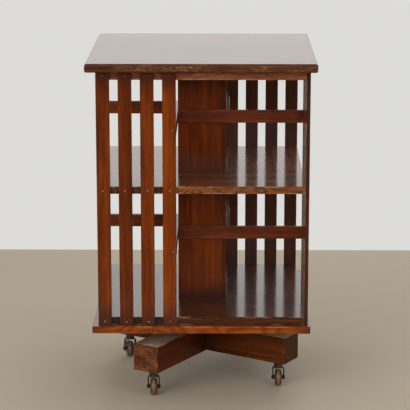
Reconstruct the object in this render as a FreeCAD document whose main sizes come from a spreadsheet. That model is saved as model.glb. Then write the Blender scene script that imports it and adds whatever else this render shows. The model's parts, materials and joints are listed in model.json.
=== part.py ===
import FreeCAD, Part
import math
import os
import re

import Sketcher

# A revolving bookcase that stands on the floor. A square case of two tiers turns on a steel
# spindle that rises from a cross of two halved beams, and the cross rolls on four swivel castors.
# The case is laid out like a pinwheel: on each face the left part is slatted and the right part
# is an open bay. Lengths are millimetres, X is right, Y is away from the front, Z is up, and the
# origin lies on the floor under the spindle.

document = FreeCAD.newDocument("RevolvingBookcase")
sheet = document.addObject("Spreadsheet::Sheet", "Sizes")

SIZES = {
    # the case in plan
    "shelf_side": 500,
    "bay_depth": 190,
    "top_overhang": 25,
    "plate_overhang": 15,
    # heights from the floor up
    "castor_height": 72,
    "beam_depth": 68,
    "turning_gap": 43,
    "plate_thickness": 18,
    "lower_board_thickness": 20,
    "lower_tier": 307,
    "shelf_thickness": 18,
    "upper_tier": 258,
    "upper_board_thickness": 20,
    "top_thickness": 21,
    # easing of the boards' edges
    "top_round": 6,
    "plate_ease": 1.5,
    "board_ease": 1,
    # the hollow column, the slats and the book stops
    "panel_thickness": 12,
    "slat_width": 32.5,
    "slat_thickness": 9,
    "slat_ease": 0.8,
    "rail_height": 32,
    "rail_thickness": 9,
    "rail_ease": 1,
    "lower_rail_rise": 151,
    "upper_rail_rise": 122,
    # the cross under the case
    "base_turn": -31.7,
    "beam_length": 528,
    "beam_width": 71,
    "beam_ease": 2,
    "lap_clearance": 0.1,
    # the spindle and what holds it
    "spindle_diameter": 22,
    "spindle_foot_rise": 12,
    "seat_clearance": 0.1,
    "running_clearance": 0.08,
    "tip_height": 6,
    "tip_inset": 5,
    "tip_gap": 0.2,
    "flange_diameter": 88,
    "flange_thickness": 6,
    "socket_height": 30,
    "bush_wall": 8,
    "boss_taper": 4,
    "bush_rise": 34,
    "cup_drop": 40,
    "cup_floor": 8,
    # the castors
    "castor_inset": 37,
    "castor_trail": 9,
    "castor_plate_side": 54,
    "castor_plate_thickness": 3,
    "castor_boss_diameter": 22,
    "kingpin_diameter": 8,
    "swivel_gap": 0.4,
    "wheel_diameter": 43,
    "wheel_width": 16.5,
    "wheel_headroom": 7,
    "fork_width": 30.5,
    "fork_depth": 16,
    "fork_strap": 3,
    "fork_foot": 12,
    "fork_bend": 3.5,
    "axle_diameter": 6,
    "hub_diameter": 11,
    "side_play": 0.3,
    "nut_width": 8,
    "nut_height": 2,
    # how far a cut runs past the face that it opens
    "overcut": 1,
}

# Sizes that follow from the ones above. A formula may use any name from either list.
DERIVED = {
    "shelf_half": "shelf_side / 2",
    "column_half": "shelf_half - bay_depth",
    "top_half": "shelf_half + top_overhang",
    "plate_half": "shelf_half + plate_overhang",
    "slat_pitch": "(bay_depth - slat_width) / 3",
    "beam_top": "castor_height + beam_depth",
    "plate_bottom": "beam_top + turning_gap",
    "plate_top": "plate_bottom + plate_thickness",
    "lower_floor": "plate_top + lower_board_thickness",
    "shelf_bottom": "lower_floor + lower_tier",
    "upper_floor": "shelf_bottom + shelf_thickness",
    "upper_board_bottom": "upper_floor + upper_tier",
    "top_bottom": "upper_board_bottom + upper_board_thickness",
    "spindle_radius": "spindle_diameter / 2",
    "flange_radius": "flange_diameter / 2",
    "boss_radius": "spindle_radius + bush_wall",
    "cup_bore_top": "upper_board_bottom - cup_floor",
    "spindle_tip": "cup_bore_top - tip_gap",
    "spindle_foot": "castor_height + spindle_foot_rise",
    "castor_radius": "beam_length / 2 - castor_inset",
    "axle_height": "wheel_diameter / 2",
    "fork_roof": "wheel_diameter + wheel_headroom",
    "fork_top": "fork_roof + fork_strap",
    "fork_neck": "fork_roof - fork_bend",
    "fork_gap": "fork_width - 2 * fork_strap",
}

QUARTERS = {"front": 0, "right": 90, "rear": 180, "left": 270}
ARMS = {"right": 0, "rear": 90, "left": 180, "front": 270}
# The way each castor points, as they stand after the bookcase was pushed into place.
HEADINGS = {"right": 0, "rear": 0, "left": 14, "front": 0}
# An outline is first drawn this large, before its points are pinned to the sizes.
ROUGH_RADIUS = 50
# An edge counts as lying on a face within this distance, and as running along an axis above this share.
NEAR = 0.01
ALONG = 0.5

kept = []


def fill_sheet():
    """Writes each size into the sheet as plain text, with its name as the cell's alias."""
    for row, (name, value) in enumerate(SIZES.items(), start=1):
        sheet.set(f"A{row}", name)
        sheet.set(f"B{row}", str(value))
        sheet.setAlias(f"B{row}", name)
    document.recompute()


def formula(text):
    """Spells a formula out for the document: sizes get the sheet's name, derived ones their own formula."""

    def spell(match):
        word = match.group()
        if word in SIZES:
            return "Sizes." + word
        if word in DERIVED:
            return "(" + formula(DERIVED[word]) + ")"
        return word

    return re.sub(r"[a-z_]+", spell, text)


def bind(thing, **formulas):
    """Ties properties of a feature to formulas, such as Length="slat_width"."""
    for name, text in formulas.items():
        thing.setExpression(name, formula(text))


def place(thing, turn=0, east="0", north="0", rise="0"):
    """Turns a piece about the upright axis by a fixed angle and ties its position to the sizes."""
    thing.Placement.Rotation = FreeCAD.Rotation(FreeCAD.Vector(0, 0, 1), turn)
    thing.setExpression("Placement.Base.x", formula(east))
    thing.setExpression("Placement.Base.y", formula(north))
    thing.setExpression("Placement.Base.z", formula(rise))


def place_on_arm(thing, arm, radius, rise, own_turn=None):
    """Puts a piece on one arm of the cross, turned with the arm unless it has a turn of its own."""
    along = f"(base_turn + {arm}) * 1 deg"
    place(thing, 0, f"{radius} * cos({along})", f"{radius} * sin({along})", rise)
    turn = f"base_turn + {arm}" if own_turn is None else str(own_turn)
    thing.Placement.Rotation = FreeCAD.Rotation(FreeCAD.Vector(0, 0, 1), 1)
    thing.setExpression("Placement.Rotation.Angle", formula(f"({turn}) * 1 deg"))


def keep(thing):
    """Marks a piece as a finished sub-part, which gets a file of its own."""
    kept.append(thing)
    return thing


def new_body(name):
    body = document.addObject("PartDesign::Body", name)
    body.Label = name
    return body


def new_sketch(body, plane, height=None):
    """Makes a sketch on one of the body's own origin planes, raised from it by a formula."""
    sketch = body.newObject("Sketcher::SketchObject", body.Name + "_outline")
    origin = {item.Role: item for item in body.Origin.OriginFeatures}
    sketch.AttachmentSupport = [(origin[plane], "")]
    sketch.MapMode = "FlatFace"
    if height is not None:
        sketch.setExpression("AttachmentOffset.Base.z", formula(height))
    return sketch


def pin_point(sketch, geometry, end, across, up):
    """Fixes one point of a sketch at a place given by two formulas."""
    for kind, text in (("DistanceX", across), ("DistanceY", up)):
        constraint = sketch.addConstraint(Sketcher.Constraint(kind, -1, 1, geometry, end, 1.0))
        sketch.setExpression(f"Constraints[{constraint}]", formula(text))


def draw_outline(sketch, corners):
    """Draws a closed outline of straight sides through corners given as pairs of formulas."""
    count = len(corners)
    first = sketch.GeometryCount
    ring = []
    for index in range(count):
        angle = 2 * math.pi * index / count
        ring.append(FreeCAD.Vector(ROUGH_RADIUS * math.cos(angle), ROUGH_RADIUS * math.sin(angle), 0))
    for index in range(count):
        sketch.addGeometry(Part.LineSegment(ring[index], ring[(index + 1) % count]), False)
    for index in range(count):
        following = first + (index + 1) % count
        sketch.addConstraint(Sketcher.Constraint("Coincident", first + index, 2, following, 1))
    for index, (across, up) in enumerate(corners):
        pin_point(sketch, first + index, 1, across, up)


def draw_rectangle(sketch, left, low, right, high):
    draw_outline(sketch, [(left, low), (right, low), (right, high), (left, high)])


def draw_circle(sketch, across, up, radius):
    rough_circle = Part.Circle(FreeCAD.Vector(), FreeCAD.Vector(0, 0, 1), ROUGH_RADIUS)
    circle = sketch.addGeometry(rough_circle, False)
    pin_point(sketch, circle, 3, across, up)
    constraint = sketch.addConstraint(Sketcher.Constraint("Radius", circle, ROUGH_RADIUS))
    sketch.setExpression(f"Constraints[{constraint}]", formula(radius))


def pad(body, sketch, length, midplane=False):
    feature = body.newObject("PartDesign::Pad", body.Name + "_pad")
    feature.Profile = sketch
    feature.Midplane = midplane
    bind(feature, Length=length)
    document.recompute()
    return feature


def pocket(body, sketch, length=None, midplane=False, turned_over=False):
    """Cuts a sketch out of the body, through all of it unless a length is given."""
    before = body.Shape.Volume
    feature = body.newObject("PartDesign::Pocket", body.Name + "_pocket")
    feature.Profile = sketch
    feature.Midplane = midplane
    feature.Reversed = turned_over
    if length is None:
        feature.Type = "ThroughAll"
    else:
        bind(feature, Length=length)
    document.recompute()
    if body.Shape.Volume > before - NEAR:
        raise ValueError(body.Name + ": a cut missed the piece")
    return feature


def revolve(body, sketch, axis):
    feature = body.newObject("PartDesign::Revolution", body.Name + "_turning")
    feature.Profile = sketch
    feature.ReferenceAxis = (sketch, [axis])
    feature.Angle = 360
    document.recompute()
    return feature


def edges_where(shape, test):
    """Names the edges whose middle point and direction pass a test."""
    names = []
    for number, edge in enumerate(shape.Edges, start=1):
        middle = edge.valueAt((edge.FirstParameter + edge.LastParameter) / 2)
        along = edge.tangentAt((edge.FirstParameter + edge.LastParameter) / 2)
        if test(middle, along):
            names.append(f"Edge{number}")
    return names


def ease(body, kind, size, test):
    """Rounds or chamfers the edges of the body's last feature that pass a test."""
    base = body.Tip
    edges = edges_where(base.Shape, test)
    feature = body.newObject("PartDesign::" + kind, body.Name + "_" + kind.lower())
    feature.Base = (base, edges)
    bind(feature, **{"Radius" if kind == "Fillet" else "Size": size})
    document.recompute()
    return feature


def value(name):
    """Works out a size or a derived size from the sheet, for tests that pick edges."""
    probe = document.getObject("Probe") or document.addObject("App::FeaturePython", "Probe")
    if "reading" not in probe.PropertiesList:
        probe.addProperty("App::PropertyFloat", "reading")
    probe.setExpression("reading", formula(name))
    probe.recompute()
    return probe.reading


def make_square_board(name, half, thickness, rise):
    """A square board about the spindle's axis."""
    body = new_body(name)
    sketch = new_sketch(body, "XY_Plane")
    draw_rectangle(sketch, "-" + half, "-" + half, half, half)
    pad(body, sketch, thickness)
    place(body, rise=rise)
    return body


def make_top_board():
    """The top overhangs the slats, and its long edges are rounded over."""
    body = make_square_board("top_board", "top_half", "top_thickness", "top_bottom")
    ease(body, "Fillet", "top_round", lambda middle, along: abs(along.z) < ALONG)
    return keep(body)


def make_upper_board():
    """The full board under the top closes the column and carries the pivot cup."""
    body = make_square_board("upper_board", "shelf_half", "upper_board_thickness", "upper_board_bottom")
    return keep(body)


def make_base_plate():
    """The base plate overhangs the slats a little and has the guide bush through its middle."""
    body = make_square_board("base_plate", "plate_half", "plate_thickness", "plate_bottom")
    ease(body, "Chamfer", "plate_ease", lambda middle, along: abs(along.z) < ALONG)
    sketch = new_sketch(body, "XY_Plane")
    draw_circle(sketch, "0", "0", "boss_radius + seat_clearance")
    pocket(body, sketch, turned_over=True)
    return keep(body)


def make_bay_board(name, turn, thickness, rise):
    """One of four boards set round the column like a pinwheel. It is the floor of one bay."""
    body = new_body(name)
    sketch = new_sketch(body, "XY_Plane")
    draw_rectangle(sketch, "-column_half", "-shelf_half", "shelf_half", "-column_half")
    pad(body, sketch, thickness)
    front = value("-shelf_half")
    ease(body, "Chamfer", "board_ease",
         lambda middle, along: abs(middle.y - front) < NEAR and abs(along.x) > ALONG)
    place(body, turn, rise=rise)
    return keep(body)


def make_column_panel(name, turn):
    """One side of the hollow column. Each panel covers the edge of the next one round."""
    body = new_body(name)
    sketch = new_sketch(body, "XY_Plane")
    draw_rectangle(sketch, "-column_half", "-column_half",
                   "column_half - panel_thickness", "-column_half + panel_thickness")
    pad(body, sketch, "upper_board_bottom - plate_top")
    place(body, turn, rise="plate_top")
    return keep(body)


def make_slat(name, turn, number):
    """A flat slat screwed to the edges of the boards, from the base plate to the top."""
    body = new_body(name)
    sketch = new_sketch(body, "XY_Plane")
    left = f"(-shelf_half + {number - 1} * slat_pitch)"
    draw_rectangle(sketch, left, "-shelf_half - slat_thickness", f"{left} + slat_width", "-shelf_half")
    pad(body, sketch, "top_bottom - plate_top")
    outside = value("-shelf_half - slat_thickness")
    ease(body, "Chamfer", "slat_ease",
         lambda middle, along: abs(middle.y - outside) < NEAR and abs(along.z) > ALONG)
    place(body, turn, rise="plate_top")
    return keep(body)


def make_stop_rail(name, turn, rise):
    """The rail that stops the books. It runs along the column to the last slat of the next face."""
    body = new_body(name)
    sketch = new_sketch(body, "XY_Plane")
    draw_rectangle(sketch, "-column_half", "-column_half - rail_thickness", "shelf_half", "-column_half")
    pad(body, sketch, "rail_height")
    outside = value("-column_half - rail_thickness")
    ease(body, "Chamfer", "rail_ease",
         lambda middle, along: abs(middle.y - outside) < NEAR and abs(along.x) > ALONG)
    place(body, turn, rise=rise)
    return keep(body)


def make_cross_beam(name, arm, notch_low, notch_high):
    """One beam of the cross, halved where it crosses the other and bored for the spindle."""
    body = new_body(name)
    sketch = new_sketch(body, "XY_Plane")
    draw_rectangle(sketch, "-beam_length / 2", "-beam_width / 2", "beam_length / 2", "beam_width / 2")
    pad(body, sketch, "beam_depth")
    ease(body, "Chamfer", "beam_ease", lambda middle, along: True)
    notch = new_sketch(body, "XZ_Plane")
    reach = "(beam_width / 2 + lap_clearance)"
    draw_rectangle(notch, "-" + reach, notch_low, reach, notch_high)
    pocket(body, notch, midplane=True)
    bore = new_sketch(body, "XY_Plane")
    draw_circle(bore, "0", "0", "spindle_radius + seat_clearance")
    pocket(body, bore, turned_over=True)
    place_on_arm(body, arm, "0", "castor_height")
    return keep(body)


def turn_piece(name, profile):
    """A piece of revolution about the upright axis, from pairs of radius and height."""
    body = new_body(name)
    sketch = new_sketch(body, "XZ_Plane")
    draw_outline(sketch, profile)
    revolve(body, sketch, "V_Axis")
    return body


def make_spindle():
    """The steel spindle stands in the cross and carries the whole case on its rounded tip."""
    profile = [
        ("0", "spindle_foot"),
        ("spindle_radius", "spindle_foot"),
        ("spindle_radius", "spindle_tip - tip_height"),
        ("spindle_radius - tip_inset", "spindle_tip"),
        ("0", "spindle_tip"),
    ]
    return keep(turn_piece("spindle", profile))


def make_spindle_socket():
    """The cast socket is screwed to the crossing of the beams and grips the spindle."""
    bore = "spindle_radius + seat_clearance"
    profile = [
        (bore, "0"),
        ("flange_radius", "0"),
        ("flange_radius", "flange_thickness"),
        ("boss_radius + boss_taper", "flange_thickness"),
        ("boss_radius", "socket_height"),
        (bore, "socket_height"),
    ]
    body = turn_piece("spindle_socket", profile)
    place_on_arm(body, 0, "0", "beam_top")
    return keep(body)


def make_guide_bush():
    """The guide bush under the base plate keeps the case upright on the spindle."""
    bore = "spindle_radius + running_clearance"
    profile = [
        (bore, "-flange_thickness"),
        ("flange_radius", "-flange_thickness"),
        ("flange_radius", "0"),
        ("boss_radius", "0"),
        ("boss_radius", "bush_rise"),
        (bore, "bush_rise"),
    ]
    body = turn_piece("guide_bush", profile)
    place(body, rise="plate_bottom")
    return keep(body)


def make_pivot_cup():
    """The pivot cup under the upper board rests on the spindle's tip."""
    bore = "spindle_radius + running_clearance"
    profile = [
        ("0", "0"),
        ("0", "-cup_floor"),
        (bore, "-cup_floor"),
        (bore, "-cup_drop"),
        ("boss_radius", "-cup_drop"),
        ("boss_radius", "-flange_thickness"),
        ("flange_radius", "-flange_thickness"),
        ("flange_radius", "0"),
    ]
    body = turn_piece("pivot_cup", profile)
    place(body, rise="upper_board_bottom")
    return keep(body)


def gather(name, pieces):
    """Puts identical pieces of one body into one group of separate solids."""
    group = document.addObject("Part::Compound", name)
    group.Label = name
    group.Links = pieces
    document.recompute()
    return keep(group)


def make_castor_plate(name, arm):
    """The plate under the beam, with the boss and the kingpin that the fork swivels on."""
    body = new_body(name)
    sketch = new_sketch(body, "XY_Plane", "castor_height - castor_plate_thickness")
    half = "castor_plate_side / 2"
    draw_rectangle(sketch, "-" + half, "-" + half, half, half)
    pad(body, sketch, "castor_plate_thickness")
    stem = new_sketch(body, "XZ_Plane")
    boss = "castor_boss_diameter / 2"
    kingpin = "kingpin_diameter / 2"
    draw_outline(stem, [
        ("0", "fork_top - fork_strap"),
        (kingpin, "fork_top - fork_strap"),
        (kingpin, "fork_top + swivel_gap"),
        (boss, "fork_top + swivel_gap"),
        (boss, "castor_height - castor_plate_thickness"),
        ("0", "castor_height - castor_plate_thickness"),
    ])
    revolve(body, stem, "V_Axis")
    place_on_arm(body, arm, "castor_radius", "0")
    return body


def draw_leg(sketch):
    """The side view of the fork: a flat head and two straight edges that run tangent into a round foot."""
    half_depth = value("fork_depth / 2")
    neck = value("fork_neck")
    head = value("fork_top")
    foot = value("fork_foot / 2")
    centre = FreeCAD.Vector(value("castor_trail"), value("axle_height"), 0)
    heel = centre - FreeCAD.Vector(foot, 0, 0)
    toe = centre + FreeCAD.Vector(foot, 0, 0)
    rear_head = FreeCAD.Vector(-half_depth, head, 0)
    rear_neck = FreeCAD.Vector(-half_depth, neck, 0)
    front_neck = FreeCAD.Vector(half_depth, neck, 0)
    front_head = FreeCAD.Vector(half_depth, head, 0)
    circle = Part.Circle(centre, FreeCAD.Vector(0, 0, 1), foot)
    sketch.addGeometry(Part.LineSegment(front_head, rear_head), False)
    sketch.addGeometry(Part.LineSegment(rear_head, rear_neck), False)
    sketch.addGeometry(Part.LineSegment(rear_neck, heel), False)
    sketch.addGeometry(Part.ArcOfCircle(circle, math.pi, 2 * math.pi), False)
    sketch.addGeometry(Part.LineSegment(toe, front_neck), False)
    sketch.addGeometry(Part.LineSegment(front_neck, front_head), False)
    for kind, line, following in (("Coincident", 0, 1), ("Coincident", 1, 2), ("Tangent", 2, 3),
                                  ("Tangent", 3, 4), ("Coincident", 4, 5), ("Coincident", 5, 0)):
        sketch.addConstraint(Sketcher.Constraint(kind, line, 2, following, 1))
    pin_point(sketch, 3, 3, "castor_trail", "axle_height")
    pin_point(sketch, 0, 1, "fork_depth / 2", "fork_top")
    pin_point(sketch, 1, 1, "-fork_depth / 2", "fork_top")
    pin_point(sketch, 2, 1, "-fork_depth / 2", "fork_neck")
    pin_point(sketch, 5, 1, "fork_depth / 2", "fork_neck")
    radius = sketch.addConstraint(Sketcher.Constraint("Radius", 3, foot))
    sketch.setExpression(f"Constraints[{radius}]", formula("fork_foot / 2"))


def make_castor_fork(name, arm, heading):
    """The fork is a strap bent over the wheel, with legs that lean back to the axle."""
    body = new_body(name)
    side = new_sketch(body, "YZ_Plane")
    draw_leg(side)
    pad(body, side, "fork_width", midplane=True)
    inside = new_sketch(body, "XZ_Plane")
    draw_rectangle(inside, "-fork_gap / 2", "0", "fork_gap / 2", "fork_roof")
    pocket(body, inside, midplane=True)
    roof = value("fork_roof")
    ease(body, "Fillet", "fork_bend",
         lambda middle, along: abs(middle.z - roof) < NEAR and abs(along.y) > ALONG)
    head = value("fork_top")
    ease(body, "Fillet", "fork_bend + fork_strap",
         lambda middle, along: abs(middle.z - head) < NEAR and abs(along.y) > ALONG)
    kingpin = new_sketch(body, "XY_Plane", "fork_top")
    draw_circle(kingpin, "0", "0", "kingpin_diameter / 2 + running_clearance")
    pocket(body, kingpin, "fork_strap + overcut")
    axle_hole = new_sketch(body, "YZ_Plane")
    draw_circle(axle_hole, "castor_trail", "axle_height", "axle_diameter / 2 + seat_clearance")
    pocket(body, axle_hole, midplane=True)
    place_on_arm(body, arm, "castor_radius", "0", own_turn=heading)
    return keep(body)


def place_at_foot(thing, arm, heading):
    """Puts a wheel or an axle at the fork's foot, a trail's length behind the kingpin."""
    along = f"(base_turn + {arm}) * 1 deg"
    back = f"{heading} * 1 deg"
    place(thing, heading,
          f"castor_radius * cos({along}) - castor_trail * sin({back})",
          f"castor_radius * sin({along}) + castor_trail * cos({back})",
          "axle_height")
    return keep(thing)


def make_castor_wheel(name, arm, heading):
    """The wheel is turned, with a hub that reaches nearly to the fork's legs."""
    body = new_body(name)
    sketch = new_sketch(body, "XY_Plane")
    bore = "axle_diameter / 2 + running_clearance"
    hub = "hub_diameter / 2"
    hub_end = "(fork_gap / 2 - side_play)"
    tread = "wheel_diameter / 2"
    side = "wheel_width / 2"
    draw_outline(sketch, [
        ("-" + hub_end, bore),
        ("-" + hub_end, hub),
        ("-" + side, hub),
        ("-" + side, tread),
        (side, tread),
        (side, hub),
        (hub_end, hub),
        (hub_end, bore),
    ])
    revolve(body, sketch, "H_Axis")
    return place_at_foot(body, arm, heading)


def draw_hexagon(sketch, width):
    """A hexagon of a given width across its flats, about the sketch's origin."""
    corners = []
    for index in range(6):
        angle = f"{60 * index + 30} * 1 deg"
        reach = f"{width} / 2 / cos(30 deg)"
        corners.append((f"{reach} * cos({angle})", f"{reach} * sin({angle})"))
    draw_outline(sketch, corners)


def make_castor_axle(name, arm, heading):
    """The axle is a bolt across the fork, with its nut run home."""
    body = new_body(name)
    pin = new_sketch(body, "YZ_Plane")
    draw_circle(pin, "0", "0", "axle_diameter / 2")
    pad(body, pin, "fork_width + nut_height", midplane=True)
    for height in ("fork_width / 2", "-fork_width / 2 - nut_height"):
        hexagon = new_sketch(body, "YZ_Plane", height)
        draw_hexagon(hexagon, "nut_width")
        pad(body, hexagon, "nut_height")
    return place_at_foot(body, arm, heading)


def build_case():
    make_top_board()
    make_upper_board()
    make_base_plate()
    for side, turn in QUARTERS.items():
        make_bay_board("shelf_" + side, turn, "shelf_thickness", "shelf_bottom")
        make_bay_board("lower_board_" + side, turn, "lower_board_thickness", "plate_top")
        make_column_panel("column_panel_" + side, turn)
        for number in range(1, 5):
            make_slat(f"slat_{side}_{number}", turn, number)
        make_stop_rail("upper_stop_rail_" + side, turn, "upper_floor + upper_rail_rise")
        make_stop_rail("lower_stop_rail_" + side, turn, "lower_floor + lower_rail_rise")
    make_guide_bush()
    make_pivot_cup()


def build_base():
    middle = "beam_depth / 2"
    make_cross_beam("cross_beam_left_right", 0, "-overcut", middle + " + lap_clearance / 2")
    make_cross_beam("cross_beam_front_rear", 90, middle + " - lap_clearance / 2", "beam_depth + overcut")
    make_spindle_socket()
    make_spindle()
    gather("castor_plates", [make_castor_plate("castor_plate_" + side, arm) for side, arm in ARMS.items()])


def build_castors():
    for side, arm in ARMS.items():
        make_castor_fork("castor_fork_" + side, arm, HEADINGS[side])
        make_castor_axle("castor_axle_" + side, arm, HEADINGS[side])
        make_castor_wheel("castor_wheel_" + side, arm, HEADINGS[side])


def check_document():
    """Stops before anything is written if a feature failed or a piece is not a sound solid."""
    document.recompute()
    for thing in document.Objects:
        if "Invalid" in thing.State or "Error" in thing.State:
            raise ValueError(f"{thing.Name}: {thing.State}")
    for piece in kept:
        if piece.Shape.isNull() or not piece.Shape.isValid() or not piece.Shape.Solids:
            raise ValueError(piece.Name + " is not a sound solid")


def write_parts():
    os.makedirs("parts", exist_ok=True)
    for piece in kept:
        piece.Shape.exportStep(os.path.join("parts", piece.Label + ".step"))


fill_sheet()
build_case()
build_base()
build_castors()
check_document()
write_parts()
print(len(kept), "pieces written")
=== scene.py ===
# A revolving bookcase of dark red-brown hardwood under shellac. Its two-tier case, slatted on the
# left of each face and open on the right, turns on a spindle in a cross of two beams with castors.
import json
import math
import random

import bmesh
import bpy
from mathutils import Matrix, Vector


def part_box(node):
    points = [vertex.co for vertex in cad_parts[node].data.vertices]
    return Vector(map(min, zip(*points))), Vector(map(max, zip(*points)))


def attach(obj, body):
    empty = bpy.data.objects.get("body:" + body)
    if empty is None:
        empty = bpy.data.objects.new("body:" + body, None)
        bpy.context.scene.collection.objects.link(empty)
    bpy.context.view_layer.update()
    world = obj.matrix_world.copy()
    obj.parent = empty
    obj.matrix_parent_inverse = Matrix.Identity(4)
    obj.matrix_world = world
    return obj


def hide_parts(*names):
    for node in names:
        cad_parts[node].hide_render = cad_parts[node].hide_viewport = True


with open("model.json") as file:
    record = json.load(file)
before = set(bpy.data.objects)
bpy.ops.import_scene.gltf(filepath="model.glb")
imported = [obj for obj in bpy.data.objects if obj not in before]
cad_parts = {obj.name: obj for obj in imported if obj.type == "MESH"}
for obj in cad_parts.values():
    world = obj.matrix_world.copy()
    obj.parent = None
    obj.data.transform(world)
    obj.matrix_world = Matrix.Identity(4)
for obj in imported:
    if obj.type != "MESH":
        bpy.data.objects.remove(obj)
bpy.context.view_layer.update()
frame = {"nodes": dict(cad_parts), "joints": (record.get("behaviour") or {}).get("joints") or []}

scene = bpy.context.scene

# The camera stands four and a half metres in front of the bookcase, well above its top, and looks
# down at it through a long lens. Its place was worked out from the corners of the case.
camera = bpy.data.objects.new("camera", bpy.data.cameras.new("camera"))
camera.data.sensor_width = 36
camera.data.lens = 157
camera.data.clip_end = 50
camera.location = (0.0454, -4.4293, 1.472)
camera.rotation_euler = (math.radians(76.92), 0, math.radians(0.5))
scene.collection.objects.link(camera)
scene.camera = camera
scene.view_settings.view_transform = "Standard"


# The room is a plain pale floor that ends in a straight line behind the bookcase, and off-white walls,
# which are the world's own colour. Polish mirrors a lit wall near the horizon and a dim room elsewhere.
def add_step(tree, kind, inputs, result=0, **settings):
    """Adds one node, feeds its inputs with numbers or with other results, and gives its own result."""
    node = tree.nodes.new("ShaderNode" + kind)
    for name, setting in settings.items():
        setattr(node, name, setting)
    for name, source in inputs.items():
        if isinstance(source, bpy.types.NodeSocket):
            tree.links.new(source, node.inputs[name])
        else:
            node.inputs[name].default_value = source
    return node.outputs[result]


def reckon(tree, operation, *values):
    """A sum on one or more values, such as ADD or MULTIPLY."""
    return add_step(tree, "Math", dict(enumerate(values)), operation=operation)


def multiply(tree, value, *factors):
    """A value times one factor after another."""
    for factor in factors:
        value = reckon(tree, "MULTIPLY", value, factor)
    return value


def split(tree, vector):
    """The three numbers of a vector."""
    node = tree.nodes.new("ShaderNodeSeparateXYZ")
    tree.links.new(vector, node.inputs[0])
    return node.outputs


def fade(tree, value, start, end, low=0.0, high=1.0):
    """Goes smoothly from low to high as the value goes from start to end."""
    return add_step(tree, "MapRange", {0: value, 1: start, 2: end, 3: low, 4: high},
                    interpolation_type="SMOOTHSTEP")


def tint(tree, share, first, second, way="MIX"):
    """Lays a share of the second colour over the first, or multiplies the first by it."""
    return add_step(tree, "Mix", {0: share, 6: first, 7: second}, result=2,
                    data_type="RGBA", blend_type=way)


WALL_COLOUR = (0.72, 0.715, 0.69, 1)
LIT_WALL = (0.96, 0.925, 0.89, 1)
DIM_ROOM = (0.06, 0.055, 0.05, 1)
SOFT_LIGHT = (0.62, 0.62, 0.62, 1)
FLOOR_COLOUR = (0.395, 0.335, 0.25, 1)
FLOOR_HALF = 1.255

world = bpy.data.worlds.new("room")
world.use_nodes = True
scene.world = world
room = world.node_tree
ray = room.nodes.new("ShaderNodeLightPath")
_, ahead, rise = split(room, add_step(room, "TexCoord", {}, result="Generated"))
back_wall = multiply(room, fade(room, ahead, 0.7, 0.95), 0.5)
near_horizon = reckon(room, "MAXIMUM", fade(room, rise, -0.02, 0.05), back_wall)
near_horizon = multiply(room, near_horizon, fade(room, rise, 0.68, 0.5))
mirrored = tint(room, near_horizon, DIM_ROOM, LIT_WALL)
lighting = tint(room, ray.outputs["Is Glossy Ray"], SOFT_LIGHT, mirrored)
seen = reckon(room, "MAXIMUM", ray.outputs["Is Camera Ray"], ray.outputs["Is Transmission Ray"])
backdrop = tint(room, seen, lighting, WALL_COLOUR)
room.links.new(backdrop, room.nodes["Background"].inputs["Color"])
room.nodes["Background"].inputs["Strength"].default_value = 1

floor_mesh = bpy.data.meshes.new("floor")
floor_mesh.from_pydata([(-FLOOR_HALF, -FLOOR_HALF, 0), (FLOOR_HALF, -FLOOR_HALF, 0),
                        (FLOOR_HALF, FLOOR_HALF, 0), (-FLOOR_HALF, FLOOR_HALF, 0)], [], [(0, 1, 2, 3)])
floor = bpy.data.objects.new("floor", floor_mesh)
scene.collection.objects.link(floor)
floor_paint = bpy.data.materials.new("floor_paint")
floor_paint.use_nodes = True
floor_shader = floor_paint.node_tree.nodes["Principled BSDF"]
floor_shader.inputs["Base Color"].default_value = FLOOR_COLOUR
floor_shader.inputs["Roughness"].default_value = 0.7
floor_mesh.materials.append(floor_paint)

LIGHTS_AIM = Vector((0, 0, 0.45))
for name, place, power, side in (("key_light", (-1.9, -2.9, 2.1), 72, 2.2),
                                 ("fill_light", (2.2, -2.7, 1.3), 26, 1.8),
                                 ("overhead_light", (0.2, 0.6, 3.2), 20, 2.4),
                                 ("back_light", (1.2, 3.2, 1.7), 34, 2.4)):
    lamp = bpy.data.objects.new(name, bpy.data.lights.new(name, "AREA"))
    lamp.data.energy = power
    lamp.data.size = side
    lamp.location = place
    lamp.rotation_euler = (LIGHTS_AIM - Vector(place)).to_track_quat("-Z", "Y").to_euler()
    lamp.visible_glossy = False
    scene.collection.objects.link(lamp)


# The castor wheels are moulded from brown bakelite with a crowned tread, scuffed in small specks, and run
# on plain axles. A painted highlight lightens the middle of the tread. Each has a hub that keeps it off
# the fork's legs.
LATHE_STEPS = 64


def lathe(name, profile, axis, place):
    """Turns a profile, pairs of distance along the axis and radius, into a smooth closed piece."""
    shape = bmesh.new()
    rings = []
    for along, radius in profile:
        ring = []
        for step in range(LATHE_STEPS):
            angle = 2 * math.pi * step / LATHE_STEPS
            ring.append(shape.verts.new((along, radius * math.cos(angle), radius * math.sin(angle))))
        rings.append(ring)
    for first, second in zip(rings, rings[1:] + rings[:1]):
        for step in range(LATHE_STEPS):
            after = (step + 1) % LATHE_STEPS
            shape.faces.new((first[step], second[step], second[after], first[after]))
    bmesh.ops.recalc_face_normals(shape, faces=shape.faces)
    mesh = bpy.data.meshes.new(name)
    shape.to_mesh(mesh)
    shape.free()
    mesh.transform(Vector((1, 0, 0)).rotation_difference(Vector(axis)).to_matrix().to_4x4())
    mesh.transform(Matrix.Translation(place))
    mesh.shade_smooth()
    piece = bpy.data.objects.new(name, mesh)
    scene.collection.objects.link(piece)
    return piece


def new_finish(name):
    """A fresh material with its node tree and its main shader."""
    finish = bpy.data.materials.new(name)
    finish.use_nodes = True
    return finish, finish.node_tree, finish.node_tree.nodes["Principled BSDF"]


def reckon_vector(tree, operation, *vectors):
    """A sum on one or more vectors, such as ADD or MULTIPLY."""
    return add_step(tree, "VectorMath", dict(enumerate(vectors)), operation=operation)


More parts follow.
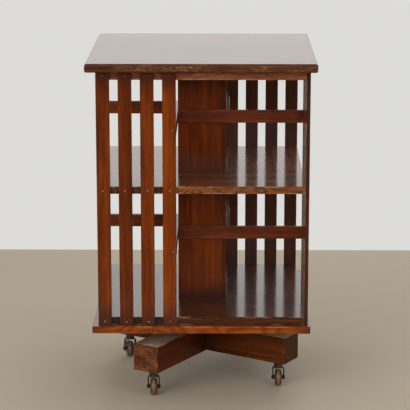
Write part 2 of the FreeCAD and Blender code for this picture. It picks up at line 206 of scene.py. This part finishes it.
def speckle(tree, place, stretch, detail=3.0, rough=0.55):
    """Noise at one place of the surface, with its grain stretched differently along each axis."""
    stretched = reckon_vector(tree, "MULTIPLY", place, stretch)
    return add_step(tree, "TexNoise", {"Vector": stretched, "Scale": 1.0, "Detail": detail,
                                       "Roughness": rough})


def raise_surface(tree, shader, height, depth, strength, socket="Normal"):
    """Lets a height move the shader's normal, so that the surface catches the light unevenly."""
    bump = tree.nodes.new("ShaderNodeBump")
    bump.inputs["Distance"].default_value = depth
    bump.inputs["Strength"].default_value = strength
    tree.links.new(height, bump.inputs["Height"])
    tree.links.new(bump.outputs["Normal"], shader.inputs[socket])


DARK_BAKELITE = (0.028, 0.011, 0.006, 1)
BROWN_BAKELITE = (0.065, 0.027, 0.015, 1)
PAINTED_TREAD_HIGHLIGHT = (0.25, 0.135, 0.075, 1)
PALE_SCUFF = (0.3, 0.21, 0.15, 1)

bakelite, tree, shader = new_finish("scuffed_bakelite")
place = add_step(tree, "TexCoord", {}, result="Object")
cloud = speckle(tree, place, (90, 90, 90))
grit = speckle(tree, place, (900, 900, 900))
sideways = split(tree, add_step(tree, "TexCoord", {}, result="Normal"))[0]
crown = fade(tree, reckon(tree, "ABSOLUTE", sideways), 0.42, 0.02)
brown = tint(tree, fade(tree, cloud, 0.35, 0.65), DARK_BAKELITE, BROWN_BAKELITE)
# Painted highlight: the crown of the tread is lightened and its sides are left dark.
brown = tint(tree, multiply(tree, crown, 0.7), brown, PAINTED_TREAD_HIGHLIGHT)
brown = tint(tree, multiply(tree, fade(tree, grit, 0.55, 0.7), 0.3), brown, PALE_SCUFF)
tree.links.new(brown, shader.inputs["Base Color"])
tree.links.new(fade(tree, grit, 0.3, 0.7, 0.22, 0.42), shader.inputs["Roughness"])
raise_surface(tree, shader, grit, 0.0002, 0.3)

ARMS = ("right", "rear", "left", "front")
WHEEL_RADIUS = 0.0215
HALF_TREAD = 0.00825
HALF_HUB = 0.0119
HUB_RADIUS = 0.0054
BORE_RADIUS = 0.00308
CROWN_FOOT = 0.0172
CROWN_STEPS = 12
CROWN_FULLNESS = 0.8
WHEEL_SIDE = ((-HALF_HUB, BORE_RADIUS), (-HALF_HUB, 0.0048), (-0.0114, HUB_RADIUS),
              (-0.00845, HUB_RADIUS), (-HALF_TREAD, 0.0062), (-0.00725, 0.0105), (-0.00725, 0.015),
              (-HALF_TREAD, 0.0166))
wheel_profile = list(WHEEL_SIDE)
for step in range(1, CROWN_STEPS):
    angle = math.pi * (1 - step / CROWN_STEPS)
    swell = (WHEEL_RADIUS - CROWN_FOOT) * math.sin(angle) ** CROWN_FULLNESS
    wheel_profile.append((HALF_TREAD * math.cos(angle), CROWN_FOOT + swell))
wheel_profile += [(-along, radius) for along, radius in reversed(WHEEL_SIDE)]
for arm in ARMS:
    low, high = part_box("castor_wheel_" + arm)
    hub = (low + high) / 2
    roll = next(joint for joint in frame["joints"] if joint["name"] == "castor_roll_" + arm)
    wheel = lathe("bakelite_wheel_" + arm, wheel_profile, roll["axis"], hub)
    wheel.data.materials.append(bakelite)
    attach(wheel, "castor_roller_" + arm)
    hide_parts("castor_wheel_" + arm)


# The forks, axles and plates of the castors are pressed and turned iron under an old dark lacquer,
# which has rubbed through to brown metal in places. Dust clings to what faces up.
def dress(node, finish):
    """Gives a piece of the frame its finish."""
    frame["nodes"][node].data.materials.clear()
    frame["nodes"][node].data.materials.append(finish)


def facing_up(tree):
    """How far a surface faces up: 1 on a level top, 0 on an upright side, -1 underneath."""
    return split(tree, add_step(tree, "NewGeometry", {}, result="Normal"))[2]


IRON_DUST = (0.2, 0.175, 0.14, 1)


def aged_iron(name, dark, rubbed, metal, rough, grain=120.0):
    """Iron with an uneven dark skin, rubbed through in small patches, and dust on what faces up."""
    finish, tree, shader = new_finish(name)
    place = add_step(tree, "TexCoord", {}, result="Object")
    cloud = speckle(tree, place, (grain, grain, grain), 4.0, 0.6)
    pits = speckle(tree, place, (1400, 1400, 1400), 2.0)
    worn = fade(tree, cloud, 0.52, 0.68)
    dust = multiply(tree, fade(tree, facing_up(tree), 0.5, 0.95), fade(tree, cloud, 0.3, 0.7, 0.15, 0.5))
    skin = tint(tree, dust, tint(tree, worn, dark, rubbed), IRON_DUST)
    tree.links.new(skin, shader.inputs["Base Color"])
    tree.links.new(multiply(tree, worn, metal), shader.inputs["Metallic"])
    tree.links.new(fade(tree, cloud, 0.3, 0.75, rough, rough + 0.2), shader.inputs["Roughness"])
    raise_surface(tree, shader, pits, 0.0002, 0.35)
    return finish


lacquered_iron = aged_iron("lacquered_iron", dark=(0.024, 0.016, 0.011, 1), rubbed=(0.13, 0.065, 0.034, 1),
                           metal=0.8, rough=0.34)
for arm in ARMS:
    dress("castor_fork_" + arm, lacquered_iron)
    dress("castor_axle_" + arm, lacquered_iron)
dress("castor_plates", lacquered_iron)


# The cross is two thick beams of the same hardwood, halved into each other. The polish has worn thin,
# the ends show their rings, the arrises are rubbed orange, and dust lies on the tops.
BACK_SHADE_COLOUR = (0.02, 0.01, 0.006, 1)
CORNER_SHADE_COLOUR = (0.02, 0.008, 0.004, 1)
DARK_END_COLOUR = (0.03, 0.011, 0.006, 1)
END_SHADE_AND_GRIME_COLOUR = (0.032, 0.008, 0.004, 1)
DUST_COLOUR = (0.56, 0.475, 0.3, 1)
MARK_COLOUR = (0.5, 0.42, 0.36, 1)
RING_PHASE = 1150.0
RUBBED_REACH = 0.0016


def grow_rings(tree, given, moved):
    """Year rings round the pith, bent by slow noise: 0 in pale wood and 1 in dark, one each 5.5 mm."""
    bend = reckon_vector(tree, "MULTIPLY", moved, (4, 9, 9))
    wander = add_step(tree, "TexNoise", {"Vector": bend, "Scale": 1.0, "Detail": 2.0}, result=1)
    wander = reckon_vector(tree, "SUBTRACT", wander, (0.5, 0.5, 0.5))
    wander = add_step(tree, "VectorMath", {0: wander, "Scale": given["Figure"]}, operation="SCALE")
    beside = reckon_vector(tree, "SUBTRACT", given["Place"], given["Pith"])
    beside = reckon_vector(tree, "ADD", beside, wander)
    flat = reckon_vector(tree, "MULTIPLY", beside, (0, 1, 1))
    radius = add_step(tree, "VectorMath", {0: flat}, result="Value", operation="LENGTH")
    uneven = multiply(tree, speckle(tree, moved, (3, 70, 70)), 5.0)
    year = reckon(tree, "SINE", reckon(tree, "MULTIPLY_ADD", radius, RING_PHASE, uneven))
    return reckon(tree, "POWER", reckon(tree, "MULTIPLY_ADD", year, 0.5, 0.5), 1.8)


def find_edges(tree, given):
    """How far a point lies in from the board's end, its side, its broad face and its nearest arris."""
    inset = reckon_vector(tree, "SUBTRACT", given["Half"], reckon_vector(tree, "ABSOLUTE", given["Place"]))
    from_end, from_side, from_face = split(tree, inset)
    nearer = reckon(tree, "MINIMUM", from_end, from_side)
    farther = reckon(tree, "MAXIMUM", from_end, from_side)
    from_arris = reckon(tree, "MAXIMUM", nearer, reckon(tree, "MINIMUM", farther, from_face))
    return from_end, from_side, from_face, from_arris


def make_hardwood():
    """The wood itself, as a group of nodes that every board shares.

    Place is measured from the board's middle with X along the grain, Half is half of its length, width
    and thickness, and Pith says where the heart of the log ran beside it. Crook is where along the board
    painted shade lies in a corner, how far it reaches and how dark it is. Back paints shade on the board's
    back and long sides, and the end input paints shade, with some grime, at its ends. Thin is how little
    polish its edges keep.
    """
    tree = bpy.data.node_groups.new("hardwood", "ShaderNodeTree")
    for name, kind in (("Place", "Vector"), ("Half", "Vector"), ("Pith", "Vector"), ("Shift", "Vector"),
                       ("Crook", "Vector"), ("Dark", "Color"), ("Middle", "Color"), ("Pale", "Color"),
                       ("Worn", "Color"), ("Ends", "Color"), ("Rings", "Float"), ("Figure", "Float"),
                       ("Wear", "Float"), ("Scuffs", "Float"), ("EndShadeAndGrime", "Float"), ("Back", "Float"),
                       ("Dust", "Float"), ("Marks", "Float"), ("Thin", "Float")):
        tree.interface.new_socket(name, in_out="INPUT", socket_type="NodeSocket" + kind)
    for name, kind in (("Colour", "Color"), ("Roughness", "Float"), ("Fibres", "Float"),
                       ("Ripple", "Float"), ("Polish", "Float")):
        tree.interface.new_socket(name, in_out="OUTPUT", socket_type="NodeSocket" + kind)
    given = tree.nodes.new("NodeGroupInput").outputs
    moved = reckon_vector(tree, "ADD", given["Place"], given["Shift"])
    up = facing_up(tree)
    level = fade(tree, up, 0.7, 0.95)
    upright = fade(tree, reckon(tree, "ABSOLUTE", up), 0.7, 0.3)
    thin = multiply(tree, upright, given["Thin"])

    # The wood under its stain: broad bands, pale streaks, dark rings, and the shade of fibres and pores.
    ring = grow_rings(tree, given, moved)
    broad = speckle(tree, moved, (1.8, 26, 26), 3.0)
    streak = speckle(tree, moved, (5, 130, 130), 3.0)
    fibre = speckle(tree, moved, (16, 750, 750), 2.0)
    pore = fade(tree, speckle(tree, moved, (60, 1700, 1700), 1.0), 0.6, 0.72)
    stain = speckle(tree, moved, (7, 16, 16), 4.0, 0.6)
    rings = multiply(tree, ring, reckon(tree, "MULTIPLY_ADD", thin, 0.7, given["Rings"]))
    pale = multiply(tree, fade(tree, streak, 0.4, 0.85), fade(tree, upright, 0, 1, 0.35))
    colour = tint(tree, fade(tree, broad, 0.28, 0.66), given["Dark"], given["Middle"])
    colour = tint(tree, pale, colour, given["Pale"])
    colour = tint(tree, multiply(tree, thin, 0.3), colour, given["Pale"])
    colour = tint(tree, reckon(tree, "MINIMUM", rings, 0.9), colour, given["Dark"])
    shade = multiply(tree, fade(tree, fibre, 0.3, 0.7, 0.86, 1.12),
                     reckon(tree, "MULTIPLY_ADD", pore, -0.3, 1.0), fade(tree, stain, 0.3, 0.72, 0.8, 1.16))
    shade = add_step(tree, "CombineXYZ", {0: shade, 1: shade, 2: shade})
    colour = tint(tree, 1.0, colour, shade, "MULTIPLY")

    # The end grain, painted shade on the board's back and long sides, and painted shade in the corner the
    # board runs into.
    from_end, from_side, from_face, from_arris = find_edges(tree, given)
    end_grain = fade(tree, from_end, 0.0009, 0.0003)
    mottle = fade(tree, speckle(tree, moved, (26, 30, 70), 6.0, 0.72), 0.36, 0.62)
    ends = tint(tree, multiply(tree, mottle, 0.85), given["Ends"], DARK_END_COLOUR)
    ends = tint(tree, multiply(tree, ring, 0.25), ends, given["Dark"])
    colour = tint(tree, multiply(tree, end_grain, 0.8), colour, ends)
    from_back = split(tree, reckon_vector(tree, "ADD", given["Place"], given["Half"]))[2]
    shaded_back_and_sides = reckon(tree, "MAXIMUM", fade(tree, from_back, 0.0012, 0.0004),
                    fade(tree, from_side, 0.0022, 0.0002))
    colour = tint(tree, multiply(tree, shaded_back_and_sides, given["Back"]), colour, BACK_SHADE_COLOUR)
    crook_middle, crook_reach, crook_depth = split(tree, given["Crook"])
    away = reckon(tree, "SUBTRACT", split(tree, given["Place"])[0], crook_middle)
    corner_shade = fade(tree, reckon(tree, "ABSOLUTE", away), crook_reach, 0.0)
    colour = tint(tree, multiply(tree, corner_shade, crook_depth), colour, CORNER_SHADE_COLOUR)

    # Arrises rubbed in patches, scuffs on the upright faces, and painted shade with some grime at the ends.
    patches = fade(tree, speckle(tree, moved, (24, 55, 55), 4.0, 0.6), 0.42, 0.62)
    arris = fade(tree, reckon(tree, "MULTIPLY_ADD", patches, -RUBBED_REACH, from_arris), RUBBED_REACH, 0.0)
    rubs = multiply(tree, fade(tree, speckle(tree, moved, (130, 300, 300), 5.0, 0.75), 0.42, 0.78),
                    fade(tree, speckle(tree, moved, (5, 5, 5), 2.0), 0.38, 0.58),
                    fade(tree, from_face, 0.002, 0.006), upright, given["Scuffs"])
    worn = reckon(tree, "MAXIMUM", multiply(tree, arris, patches, given["Wear"]), rubs)
    colour = tint(tree, worn, colour, given["Worn"])
    end_closeness = reckon(tree, "MULTIPLY_ADD", stain, 0.08, multiply(tree, from_end, -1.0))
    end_shade_and_grime = multiply(tree, fade(tree, end_closeness, -0.03, 0.035), given["EndShadeAndGrime"])
    colour = tint(tree, end_shade_and_grime, colour, END_SHADE_AND_GRIME_COLOUR)

    # Dust on what faces up, held off where the corner's painted shade lies, and dull marks in patches where
    # things stood.
    dust = multiply(tree, level, given["Dust"], fade(tree, stain, 0.25, 0.6, 0.45, 1.0),
                    reckon(tree, "MULTIPLY_ADD", corner_shade, -0.8, 1.0))
    colour = tint(tree, dust, colour, DUST_COLOUR)
    marks = multiply(tree, fade(tree, speckle(tree, moved, (260, 330, 330), 4.0, 0.7), 0.55, 0.72),
                     fade(tree, speckle(tree, moved, (8, 12, 12), 2.0), 0.42, 0.62), level, given["Marks"])
    colour = tint(tree, marks, colour, MARK_COLOUR)

    # What is worn, dusty or end grain is duller. Fibres lift the wood, and slow ripples the polish on it.
    rough = reckon(tree, "MULTIPLY_ADD", streak, 0.22, 0.2)
    rough = reckon(tree, "MULTIPLY_ADD", worn, 0.25, rough)
    rough = reckon(tree, "MULTIPLY_ADD", dust, 0.4, rough)
    rough = reckon(tree, "MULTIPLY_ADD", end_grain, 0.2, rough)
    fibres = reckon(tree, "MULTIPLY_ADD", pore, -0.8, fibre)
    ripple = reckon(tree, "ADD", speckle(tree, moved, (14, 45, 45), 2.0), multiply(tree, streak, 0.25))
    polish_left = multiply(tree, reckon(tree, "SUBTRACT", 1.0, thin), fade(tree, up, -0.9, -0.5))
    result = tree.nodes.new("NodeGroupOutput").inputs
    for name, source in (("Colour", colour), ("Roughness", rough), ("Fibres", fibres), ("Ripple", ripple),
                         ("Polish", polish_left)):
        tree.links.new(source, result[name])
    return tree


hardwood = make_hardwood()
UP = Vector((0, 0, 1))
BARE_SHINE = 0.05


def polish(node, grain, face, stain, rings=0.2, figure=0.05, wear=0.5, scuffs=0.0, end_shade_and_grime=0.0, back_shade=0.0,
           dust=0.0, marks=0.0, thin=0.0, crook=(0, 0.1, 0), ends=(0.02, 0.008, 0.005),
           shellac=1.0, gloss=0.1, depth=1.5, middle=None, half=None):
    """Lays out one board's grain along a direction, stains it and finishes it with shellac.

    Face is the direction that the board's broad side looks to, and stain holds its four colours: dark,
    middle and pale wood, and worn. Middle and half are given where the board's box isn't square to it.
    """
    along, through = Vector(grain).normalized(), Vector(face).normalized()
    across = through.cross(along)
    turn = Matrix((along, across, through)).transposed()
    if half is None:
        low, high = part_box(node)
        middle = (low + high) / 2
        half = [abs(value) for value in turn.transposed() @ ((high - low) / 2)]
    luck = random.Random(node)
    finish, tree, shader = new_finish("shellac_on_" + node)
    own = add_step(tree, "Mapping", {0: add_step(tree, "TexCoord", {}, result="Object"), 1: middle,
                                     2: turn.to_euler()}, vector_type="TEXTURE")
    wood = tree.nodes.new("ShaderNodeGroup")
    wood.node_tree = hardwood
    tree.links.new(own, wood.inputs["Place"])
    wood.inputs["Half"].default_value = half
    wood.inputs["Pith"].default_value = (0, luck.uniform(-0.05, 0.05), luck.uniform(0.03, 0.1))
    wood.inputs["Shift"].default_value = [luck.uniform(0, 20) for _ in range(3)]
    strength = luck.uniform(0.9, 1.1)
    for name, colour in zip(("Dark", "Middle", "Pale"), stain):
        wood.inputs[name].default_value = (*(channel * strength for channel in colour), 1)
    wood.inputs["Worn"].default_value = (*stain[3], 1)
    wood.inputs["Ends"].default_value = (*ends, 1)
    wood.inputs["Crook"].default_value = crook
    for name, amount in (("Rings", rings), ("Figure", figure), ("Wear", wear), ("Scuffs", scuffs),
                         ("EndShadeAndGrime", end_shade_and_grime), ("Back", back_shade), ("Dust", dust), ("Marks", marks),
                         ("Thin", thin)):
        wood.inputs[name].default_value = amount
    tree.links.new(wood.outputs["Colour"], shader.inputs["Base Color"])
    tree.links.new(wood.outputs["Roughness"], shader.inputs["Roughness"])
    shader.inputs["Specular IOR Level"].default_value = BARE_SHINE
    shader.inputs["Coat Weight"].default_value = shellac
    if thin:
        tree.links.new(wood.outputs["Polish"], shader.inputs["Coat Weight"])
    shader.inputs["Coat Roughness"].default_value = gloss
    shader.inputs["Coat IOR"].default_value = depth
    raise_surface(tree, shader, wood.outputs["Fibres"], 0.0003, 0.25)
    raise_surface(tree, shader, wood.outputs["Ripple"], 0.0012, 0.12, "Coat Normal")
    dress(node, finish)


LEFT_BEAM_STAIN = ((0.06, 0.013, 0.002), (0.13, 0.03, 0.004), (0.2, 0.05, 0.007), (0.26, 0.1, 0.03))
LEFT_BEAM_ENDS = (0.045, 0.014, 0.005)
FRONT_BEAM_STAIN = ((0.04, 0.007, 0.001), (0.075, 0.013, 0.0015), (0.11, 0.022, 0.003), (0.34, 0.12, 0.03))
FRONT_BEAM_ENDS = (0.23, 0.08, 0.032)
BASE_TURN = math.radians(-31.7)
BEAM_MIDDLE = (0, 0, 0.106)
BEAM_HALF = (0.264, 0.0355, 0.034)
# Painted shade darkens each beam round the crossing, under the base plate, and keeps the dust off there.
CROSSING = (0, 0.19, 0.75)
for node, arm_turn, stain, ends, wear in (
        ("cross_beam_left_right", 0, LEFT_BEAM_STAIN, LEFT_BEAM_ENDS, 0.25),
        ("cross_beam_front_rear", math.pi / 2, FRONT_BEAM_STAIN, FRONT_BEAM_ENDS, 0.6)):
    arm_way = (math.cos(BASE_TURN + arm_turn), math.sin(BASE_TURN + arm_turn), 0)
    polish(node, arm_way, UP, stain, rings=0.1, wear=wear, scuffs=wear / 2, dust=0.95, crook=CROSSING,
           ends=ends, shellac=0.2, gloss=0.2, depth=1.25, middle=BEAM_MIDDLE, half=BEAM_HALF)


# The spindle is a turned steel bar that stands in a cast socket on the crossing. The guide bush in
# the base plate and the pivot cup at its top are castings too, blackened and never polished.
TURNED_STEEL = (0.3, 0.28, 0.26, 1)
BRIGHT_STEEL = (0.46, 0.44, 0.41, 1)

black_casting = aged_iron("black_casting", dark=(0.022, 0.02, 0.018, 1), rubbed=(0.09, 0.06, 0.045, 1),
                          metal=0.7, rough=0.5, grain=70.0)
for node in ("spindle_socket", "guide_bush", "pivot_cup"):
    dress(node, black_casting)

oiled_steel, tree, shader = new_finish("oiled_steel")
place = add_step(tree, "TexCoord", {}, result="Object")
turning = speckle(tree, place, (60, 60, 2600), 2.0)
steel = tint(tree, fade(tree, turning, 0.35, 0.65), TURNED_STEEL, BRIGHT_STEEL)
tree.links.new(steel, shader.inputs["Base Color"])
shader.inputs["Metallic"].default_value = 1.0
tree.links.new(fade(tree, turning, 0.3, 0.7, 0.28, 0.42), shader.inputs["Roughness"])
raise_surface(tree, shader, turning, 0.0001, 0.3)
dress("spindle", oiled_steel)


# The base plate is one wide square board under the case, with its grain from left to right. Its edge
# is orange, rubbed by feet and brooms, and darkened towards its ends by painted shade with some grime.
SIDES = ("front", "right", "rear", "left")


def look_out(side):
    """The direction that one face of the case looks to, and the direction to the right along it."""
    turn = SIDES.index(side) * math.pi / 2
    outward = Vector((math.sin(turn), -math.cos(turn), 0))
    return outward, Vector((math.cos(turn), math.sin(turn), 0))


PLATE_STAIN = ((0.09, 0.013, 0.001), (0.2, 0.034, 0.001), (0.36, 0.08, 0.002), (0.42, 0.17, 0.04))
polish("base_plate", (1, 0, 0), UP, PLATE_STAIN, rings=0.2, figure=0.07, wear=0.6, scuffs=0.2, end_shade_and_grime=0.4,
       thin=0.6, gloss=0.14)


# The lower boards and the shelves are laid round the column like a pinwheel, four to a tier. Each is
# one board with its grain along the bay, thickly polished on top and bare underneath.
LOWER_STAIN = ((0.022, 0.005, 0.0015), (0.05, 0.012, 0.003), (0.15, 0.042, 0.009), (0.3, 0.16, 0.09))
SHELF_STAIN = ((0.05, 0.011, 0.003), (0.15, 0.037, 0.009), (0.55, 0.19, 0.04), (0.4, 0.24, 0.14))
for side in SIDES:
    _, along = look_out(side)
    polish("lower_board_" + side, along, UP, LOWER_STAIN, rings=0.15, wear=0.6, marks=0.2, thin=0.7,
           gloss=0.12, depth=1.6)
    polish("shelf_" + side, along, UP, SHELF_STAIN, rings=0.2, figure=0.16, wear=0.7, scuffs=0.4,
           marks=0.6, thin=0.7, gloss=0.11, depth=1.6)


# The column is a hollow box of four panels with upright grain, a more orange wood than the rest, with
# painted shade at both ends, round the shelf, and on the panels' backs and long sides.
COLUMN_STAIN = ((0.11, 0.016, 0.001), (0.185, 0.03, 0.0015), (0.27, 0.05, 0.0025), (0.3, 0.11, 0.03))
UNDER_SHELF = (0.0345, 0.085, 0.55)
for side in SIDES:
    outward, _ = look_out(side)
    polish("column_panel_" + side, UP, outward, COLUMN_STAIN, rings=0.2, wear=0.2, end_shade_and_grime=0.95, back_shade=0.5,
           crook=UNDER_SHELF, shellac=0.7, gloss=0.15, depth=1.35)


# The upper board closes the column under the top. Its edge is a lighter band that runs from left to
# right over each bay.
UPPER_STAIN = ((0.09, 0.022, 0.008), (0.19, 0.055, 0.02), (0.34, 0.12, 0.05), (0.4, 0.2, 0.1))
polish("upper_board", (1, 0, 0), UP, UPPER_STAIN, rings=0.1, figure=0.1, wear=0.5, scuffs=0.15, thin=0.5)


# The slats stand in fours on the left of each face, screwed to the edges of the boards. Each is one
# straight-grained strip, and they differ in colour because they come from different boards.
SLATS = (1, 2, 3, 4)
SLAT_STAIN = ((0.075, 0.012, 0.0012), (0.135, 0.022, 0.0015), (0.205, 0.039, 0.003), (0.25, 0.07, 0.015))
ORANGE_SLAT_STAIN = ((0.14, 0.021, 0.0008), (0.21, 0.034, 0.001), (0.29, 0.057, 0.0015),
                     (0.34, 0.11, 0.015))
for side in SIDES:
    outward, _ = look_out(side)
    for number in SLATS:
        stain = ORANGE_SLAT_STAIN if number == SLATS[-1] else SLAT_STAIN
        # Painted shade, with some grime, darkens each slat's ends, and painted shade darkens its back and
        # long sides.
        polish(f"slat_{side}_{number}", UP, outward, stain, wear=0.35, end_shade_and_grime=0.75, back_shade=0.65,
               gloss=0.18, depth=1.35)


# The stop rails keep the books off the column. They are dark strips with their grain along the bay,
# screwed to the column and through the last slat of the next face.
RAIL_STAIN = ((0.08, 0.015, 0.004), (0.155, 0.029, 0.007), (0.25, 0.052, 0.013), (0.27, 0.085, 0.035))
for side in SIDES:
    outward, along = look_out(side)
    for tier in ("lower", "upper"):
        # Painted shade darkens each rail's back and long sides.
        polish(f"{tier}_stop_rail_{side}", along, outward, RAIL_STAIN, wear=0.7, back_shade=0.15, gloss=0.18,
               depth=1.4)


# The top is one wide square board with rounded edges, the most polished and the most used: its face
# mirrors the room and its edge is scuffed to ochre.
TOP_STAIN = ((0.05, 0.013, 0.004), (0.08, 0.022, 0.007), (0.13, 0.039, 0.012), (0.48, 0.2, 0.075))
polish("top_board", (1, 0, 0), UP, TOP_STAIN, rings=0.2, figure=0.08, wear=0.3, scuffs=0.8, thin=0.4,
       gloss=0.13)


# The screws are small and round-headed with a slot, brass gone dull or black iron, each in a dark ring
# of painted shade and old wax, as in a countersink. The brass of the top row is painted darker, shade
# under the top's overhang with tarnish. Three hold each slat, three each rail, two of them in the column
# and one through a slat, and four each flange and castor plate.
DULL_BRASS = (0.3, 0.17, 0.09, 1)
RUBBED_BRASS = (0.6, 0.48, 0.34, 1)
SHADED_TARNISHED_BRASS = (0.2, 0.08, 0.04, 1)
DARK_SHADE_RING = (0.012, 0.006, 0.004, 1)
BROWN_SHADE_RING = (0.035, 0.014, 0.008, 1)

old_brass, tree, shader = new_finish("old_brass")
place = add_step(tree, "TexCoord", {}, result="Object")
cloud = speckle(tree, place, (500, 500, 500))
brass = tint(tree, fade(tree, cloud, 0.35, 0.65), DULL_BRASS, RUBBED_BRASS)
# Painted shade with tarnish: brass above 0.6 m, the top row under the top's overhang, is darkened.
brass = tint(tree, fade(tree, split(tree, place)[2], 0.6, 0.78), brass, SHADED_TARNISHED_BRASS)
tree.links.new(brass, shader.inputs["Base Color"])
shader.inputs["Metallic"].default_value = 1.0
tree.links.new(fade(tree, cloud, 0.3, 0.7, 0.2, 0.4), shader.inputs["Roughness"])
raise_surface(tree, shader, cloud, 0.0001, 0.3)

black_screw = aged_iron("black_screw", dark=(0.04, 0.018, 0.012, 1), rubbed=(0.22, 0.09, 0.05, 1),
                        metal=0.4, rough=0.4, grain=500.0)

# The ring round each head is painted countersink shade with old wax: near black, brown in patches.
shade_ring_wax, tree, shader = new_finish("shade_ring_wax")
place = add_step(tree, "TexCoord", {}, result="Object")
shade_ring = tint(tree, fade(tree, speckle(tree, place, (700, 700, 700)), 0.35, 0.65), DARK_SHADE_RING, BROWN_SHADE_RING)
tree.links.new(shade_ring, shader.inputs["Base Color"])
shader.inputs["Roughness"].default_value = 0.45

HEAD_RADIUS = 0.0023
HEAD_RISE = 0.0009
HEAD_FULLNESS = 0.9
HEAD_STEPS = 8
RIM_SINK = 0.0002
SLOT_HALF = 0.14
SLOT_DEPTH = 0.33
LEFT_HALF = ((-0.98, 0.0), (-0.9, 0.0), (-0.72, 0.0), (-0.45, 0.0), (-SLOT_HALF, 0.0),
             (-SLOT_HALF, SLOT_DEPTH))
SHADE_RING_INNER = 0.9
SHADE_RING_OUTER = 1.5
SHADE_RING_RISE = 0.00025
SHADE_RING_SINK = 0.0001
SHADE_RING_STEPS = 24
SHARP_EDGE = math.radians(40)


def screw_head(shape, place, outward, turn, size):
    """Adds one domed head, cut by its slot, and the dark ring of painted shade and wax round it, to a
    growing shape.
    """
    out = Vector(outward)
    level = UP if abs(out.z) < 0.5 else Vector((1, 0, 0))
    basis = Matrix((level.cross(out), level, out)).transposed().to_4x4()
    basis = Matrix.Translation(place) @ basis @ Matrix.Rotation(turn, 4, "Z") @ Matrix.Scale(size, 4)
    columns = LEFT_HALF + tuple((-across, sunk) for across, sunk in reversed(LEFT_HALF))
    grid = []
    for across, sunk in columns:
        reach = math.sqrt(1 - across * across)
        line = []
        for step in range(HEAD_STEPS + 1):
            along = reach * (2 * step / HEAD_STEPS - 1)
            dome = math.sqrt(1 - HEAD_FULLNESS * (across * across + along * along))
            height = max(HEAD_RISE * (dome - sunk), 0.0)
            spot = basis @ Vector((across * HEAD_RADIUS, along * HEAD_RADIUS, height))
            line.append(shape.verts.new(spot))
        grid.append(line)
    for first, second in zip(grid, grid[1:]):
        for step in range(HEAD_STEPS):
            shape.faces.new((first[step], second[step], second[step + 1], first[step + 1]))
    rim = grid[0] + [line[-1] for line in grid[1:-1]] + grid[-1][::-1] + [line[0] for line in grid[-2:0:-1]]
    skirt = []
    for vert in rim:
        flat = basis.inverted() @ vert.co
        skirt.append(shape.verts.new(basis @ Vector((flat.x, flat.y, -RIM_SINK))))
    for step in range(len(rim)):
        after = (step + 1) % len(rim)
        shape.faces.new((rim[step], rim[after], skirt[after], skirt[step]))
    inner, outer = [], []
    for step in range(SHADE_RING_STEPS):
        angle = 2 * math.pi * step / SHADE_RING_STEPS
        edge = Vector((math.cos(angle), math.sin(angle), 0)) * HEAD_RADIUS
        inner.append(shape.verts.new(basis @ (edge * SHADE_RING_INNER + UP * SHADE_RING_RISE)))
        outer.append(shape.verts.new(basis @ (edge * SHADE_RING_OUTER - UP * SHADE_RING_SINK)))
    for step in range(SHADE_RING_STEPS):
        after = (step + 1) % SHADE_RING_STEPS
        shade_ring = shape.faces.new((inner[step], outer[step], outer[after], inner[after]))
        shade_ring.material_index = 1


def drive_screws(name, spots, body, metal=old_brass, size=1.0):
    """Makes one row of screws, each at a place and facing outward, and fixes them to a body."""
    luck = random.Random(name)
    shape = bmesh.new()
    for place, outward in spots:
        screw_head(shape, place, outward, luck.uniform(0, math.pi), size)
    mesh = bpy.data.meshes.new(name)
    shape.to_mesh(mesh)
    shape.free()
    mesh.materials.append(metal)
    mesh.materials.append(shade_ring_wax)
    mesh.shade_smooth()
    row = bpy.data.objects.new(name, mesh)
    scene.collection.objects.link(row)
    row.modifiers.new("crisp", "EDGE_SPLIT").split_angle = SHARP_EDGE
    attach(row, body)


BOARD_MIDDLES = (0.211, 0.537, 0.814)
RAIL_MIDDLES = (0.388, 0.684)
SLAT_FACE = 0.259
FIRST_SLAT = -0.23375
SLAT_PITCH = 0.0525
SPREAD_ALONG = 0.0015
SPREAD_UP = 0.001
RAIL_END = -0.0675
RAIL_END_DROP = 0.001
RAIL_FACE = 0.069
COLUMN_SCREWS = (-0.046, 0.045)
COLUMN_SCREW_RISE = 0.002
for side in SIDES:
    outward, along = look_out(side)
    luck = random.Random("screws " + side)
    slat_spots, rail_spots = [], []
    for number in range(len(SLATS)):
        middle = FIRST_SLAT + SLAT_PITCH * number
        for height in BOARD_MIDDLES:
            spot = outward * SLAT_FACE + along * (middle + luck.uniform(-SPREAD_ALONG, SPREAD_ALONG))
            slat_spots.append((spot + UP * (height + luck.uniform(-SPREAD_UP, SPREAD_UP)), outward))
    for height in RAIL_MIDDLES:
        spot = outward * SLAT_FACE + along * RAIL_END + UP * (height - RAIL_END_DROP)
        slat_spots.append((spot, outward))
        for across in COLUMN_SCREWS:
            spot = outward * RAIL_FACE + along * across + UP * (height + COLUMN_SCREW_RISE)
            rail_spots.append((spot, outward))
    drive_screws("slat_screws_" + side, slat_spots, "case")
    drive_screws("rail_screws_" + side, rail_spots, "case", black_screw)

FLANGE_SCREWS = 0.034
for node, rise, outward, body in (("spindle_socket", 0.146, UP, "base"),
                                  ("guide_bush", 0.177, -UP, "case"),
                                  ("pivot_cup", 0.798, -UP, "case")):
    spots = []
    for quarter in range(4):
        angle = math.pi * (quarter / 2 + 0.25)
        spot = Vector((FLANGE_SCREWS * math.cos(angle), FLANGE_SCREWS * math.sin(angle), rise))
        spots.append((spot, outward))
    drive_screws(node + "_screws", spots, body, black_screw, size=1.5)

CASTOR_RADIUS = 0.227
PLATE_FACE = 0.069
PLATE_SCREW = 0.0205
spots = []
for number in range(len(ARMS)):
    angle = BASE_TURN + number * math.pi / 2
    arm_way = Vector((math.cos(angle), math.sin(angle), 0))
    arm_side = Vector((-math.sin(angle), math.cos(angle), 0))
    for along in (-PLATE_SCREW, PLATE_SCREW):
        for across in (-PLATE_SCREW, PLATE_SCREW):
            spots.append((arm_way * (CASTOR_RADIUS + along) + arm_side * across + UP * PLATE_FACE, -UP))
drive_screws("castor_plate_screws", spots, "base", black_screw, size=1.4)
